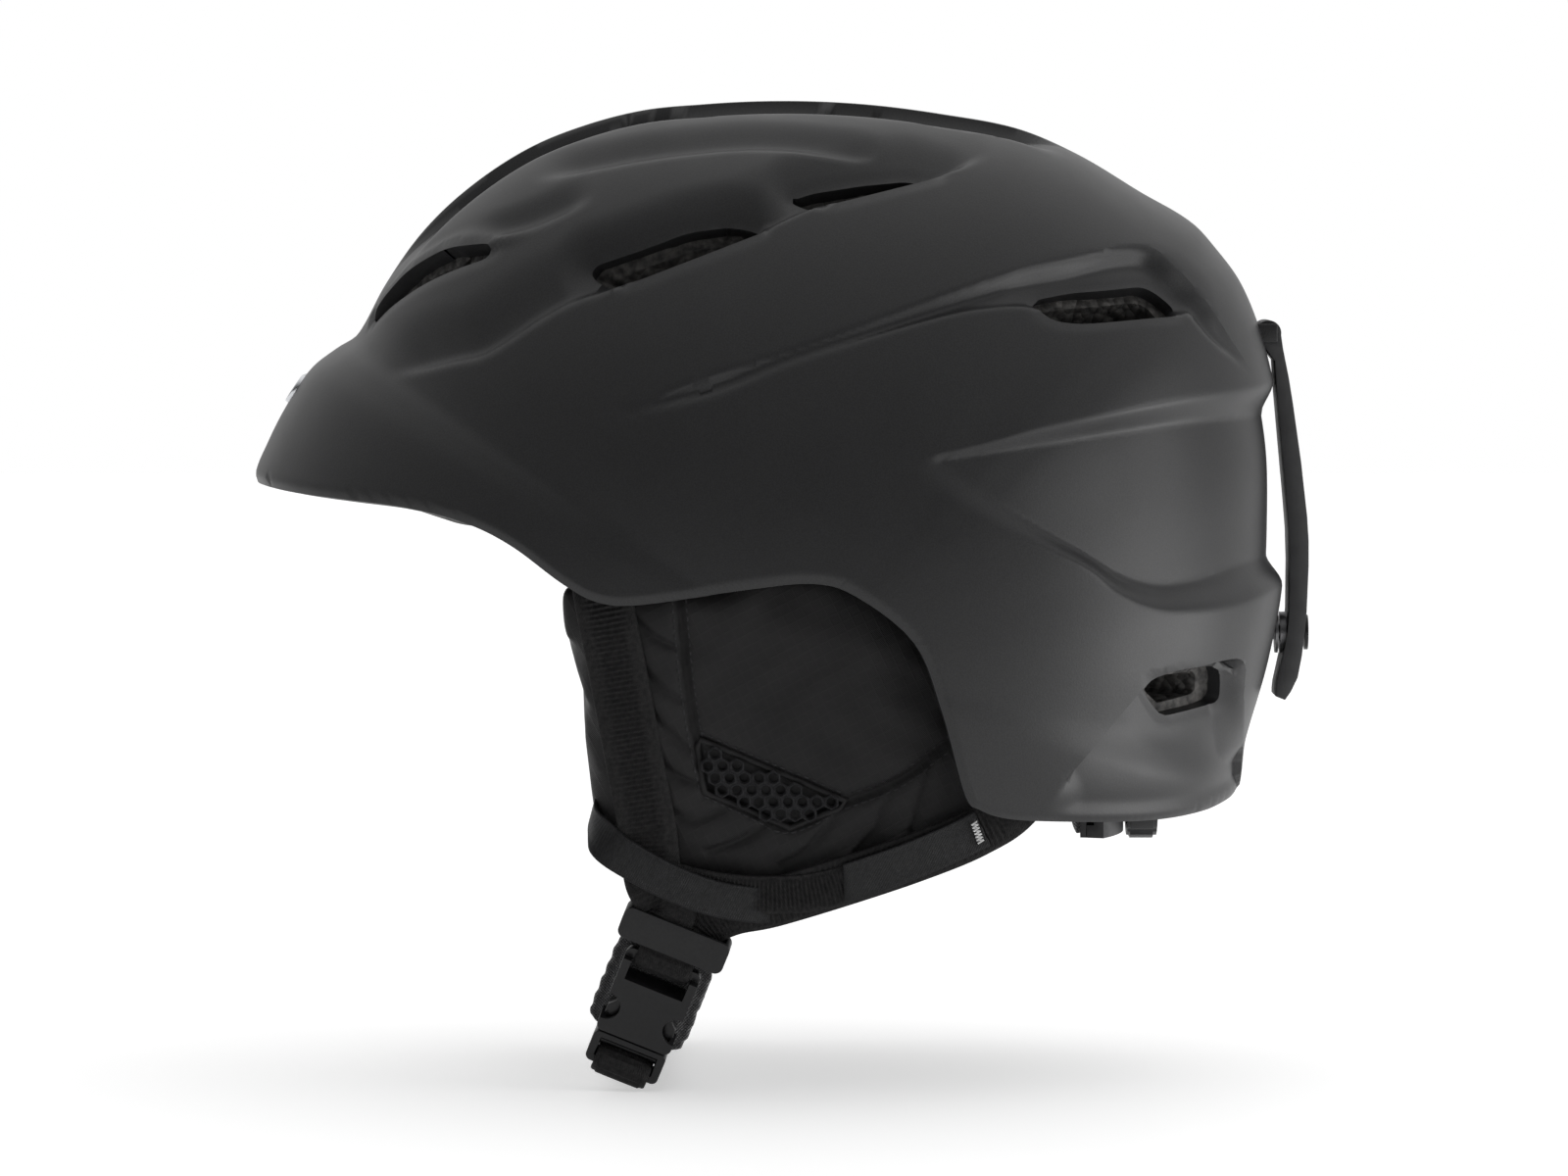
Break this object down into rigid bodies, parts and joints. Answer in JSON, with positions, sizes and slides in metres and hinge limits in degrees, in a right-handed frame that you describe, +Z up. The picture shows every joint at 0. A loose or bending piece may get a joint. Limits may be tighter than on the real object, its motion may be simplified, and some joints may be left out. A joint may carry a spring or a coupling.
{
  "type": "ski helmet",
  "caption": "Hard-shell ski helmet with ear pads, adjustable vents, dial fit bands, buckled chin strap and a rear goggle strap retainer.",
  "frame": {"origin": "centre of the wearer's head on the reference plane at brow height, midway between the ears", "axes": "+Z up; the helmet faces -Y; +X to the wearer's left"},
  "size_m": [0.2166, 0.3, 0.2737],
  "materials": {
    "shell": "satin black ABS",
    "eps": "rough black expanded polystyrene",
    "badge": "satin",
    "comfort_fabric": "brushed knit",
    "hook_tape": "hook tape",
    "webbing": "ribbed",
    "anchor_plastic": "satin",
    "ear_fabric": "ripstop",
    "ear_mesh": "open mesh",
    "fleece": "fleece",
    "smooth_band": "smooth",
    "buckle_plastic": "satin gloss",
    "chin_fabric": "soft",
    "retainer_rubber": "matte",
    "snap_metal": "satin",
    "snap_black": "black",
    "vent_plastic": "matte",
    "fit_plastic": "satin grey",
    "dial_plastic": "matte",
    "screw_steel": "bright"
  },
  "bodies": {
    "helmet": {"outer_shell": "shell", "eps_liner": "eps", "front_badge": "badge", "brow_pad": "comfort_fabric", "rear_pad": "comfort_fabric", "crown_pad": "comfort_fabric", "side_pads": "comfort_fabric", "hook_patches": "hook_tape", "front_strap_left": "webbing", "front_strap_right": "webbing", "rear_strap_left": "webbing", "rear_strap_right": "webbing", "front_strap_anchors": "anchor_plastic", "rear_strap_anchors": "anchor_plastic", "ear_pad_left": "ear_fabric", "ear_pad_right": "ear_fabric", "ear_mesh_left": "ear_mesh", "ear_mesh_right": "ear_mesh", "ear_lining_left": "fleece", "ear_lining_right": "fleece", "ear_band_left": "smooth_band", "ear_band_right": "smooth_band", "ear_clips": "anchor_plastic", "strap_label_left": "smooth_band", "strap_label_right": "smooth_band", "strap_divider_left": "buckle_plastic", "strap_divider_right": "buckle_plastic", "buckle_strap": "webbing", "buckle_socket": "buckle_plastic", "chin_webbing": "webbing", "retainer_anchor": "retainer_rubber", "snap_stud": "snap_metal", "height_guide": "fit_plastic", "guide_pins": "fit_plastic"},
    "retainer": {"retainer_strap": "retainer_rubber", "snap_cap": "snap_black", "snap_socket": "snap_metal"},
    "vent_control": {"vent_shutter": "vent_plastic", "vent_button": "vent_plastic"},
    "fit_cradle": {"height_stem": "fit_plastic", "fit_housing": "fit_plastic", "fit_cover": "fit_plastic", "fit_screws": "screw_steel", "nape_pad": "comfort_fabric"},
    "fit_dial": {"dial_knob": "dial_plastic", "dial_pinion": "dial_plastic", "dial_screw": "screw_steel"},
    "band_left": {"fit_band_left": "fit_plastic", "band_pad_left": "comfort_fabric"},
    "band_right": {"fit_band_right": "fit_plastic", "band_pad_right": "comfort_fabric"},
    "buckle_plug": {"buckle_plug": "buckle_plastic", "chin_pad": "chin_fabric"},
    "buckle_arm_front": {"buckle_arm_front": "buckle_plastic"},
    "buckle_arm_rear": {"buckle_arm_rear": "buckle_plastic"}
  },
  "joints": [
    {"name": "retainer_flip", "type": "hinge", "parent": "helmet", "child": "retainer", "pos_m": [0, 0.1306, 0.073], "axis": [1, 0, 0], "range_deg": [0, 100]},
    {"name": "vent_slide", "type": "hinge", "parent": "helmet", "child": "vent_control", "pos_m": [0, 0, -0.08], "axis": [1, 0, 0], "range_deg": [0, 5.75]},
    {"name": "fit_height", "type": "slide", "parent": "helmet", "child": "fit_cradle", "axis": [0, 0, 1], "range_m": [-0.008, 0.008]},
    {"name": "fit_dial", "type": "hinge", "parent": "fit_cradle", "child": "fit_dial", "pos_m": [0, 0.0909, -0.055], "axis": [0, 1, 0], "range_deg": [-120, 120]},
    {"name": "band_left_turn", "type": "hinge", "parent": "fit_cradle", "child": "band_left", "pos_m": [0, 0.01, -0.055], "axis": [0, 0, 1], "range_deg": [-8, 8]},
    {"name": "band_right_turn", "type": "hinge", "parent": "fit_cradle", "child": "band_right", "pos_m": [0, 0.01, -0.055], "axis": [0, 0, 1], "range_deg": [-8, 8]},
    {"name": "buckle_release", "type": "slide", "parent": "helmet", "child": "buckle_plug", "axis": [-0.3305, -0.352, -0.8757], "range_m": [0, 0.024], "deforming": ["chin_webbing", "buckle_arm_front", "buckle_arm_rear"]},
    {"name": "arm_front_squeeze", "type": "hinge", "parent": "buckle_plug", "child": "buckle_arm_front", "pos_m": [0.06476, -0.05519, -0.11815], "axis": [-0.9438, 0.1233, 0.3067], "range_deg": [0, 10], "stiffness_Nm_per_rad": 0.02},
    {"name": "arm_rear_squeeze", "type": "hinge", "parent": "buckle_plug", "child": "buckle_arm_rear", "pos_m": [0.06476, -0.04183, -0.12352], "axis": [0.9438, -0.1233, -0.3067], "range_deg": [0, 10], "stiffness_Nm_per_rad": 0.02}
  ],
  "couplings": [
    {"joint": "band_left_turn", "follows": "fit_dial", "ratio": -0.06579},
    {"joint": "band_right_turn", "follows": "fit_dial", "ratio": 0.06579}
  ]
}
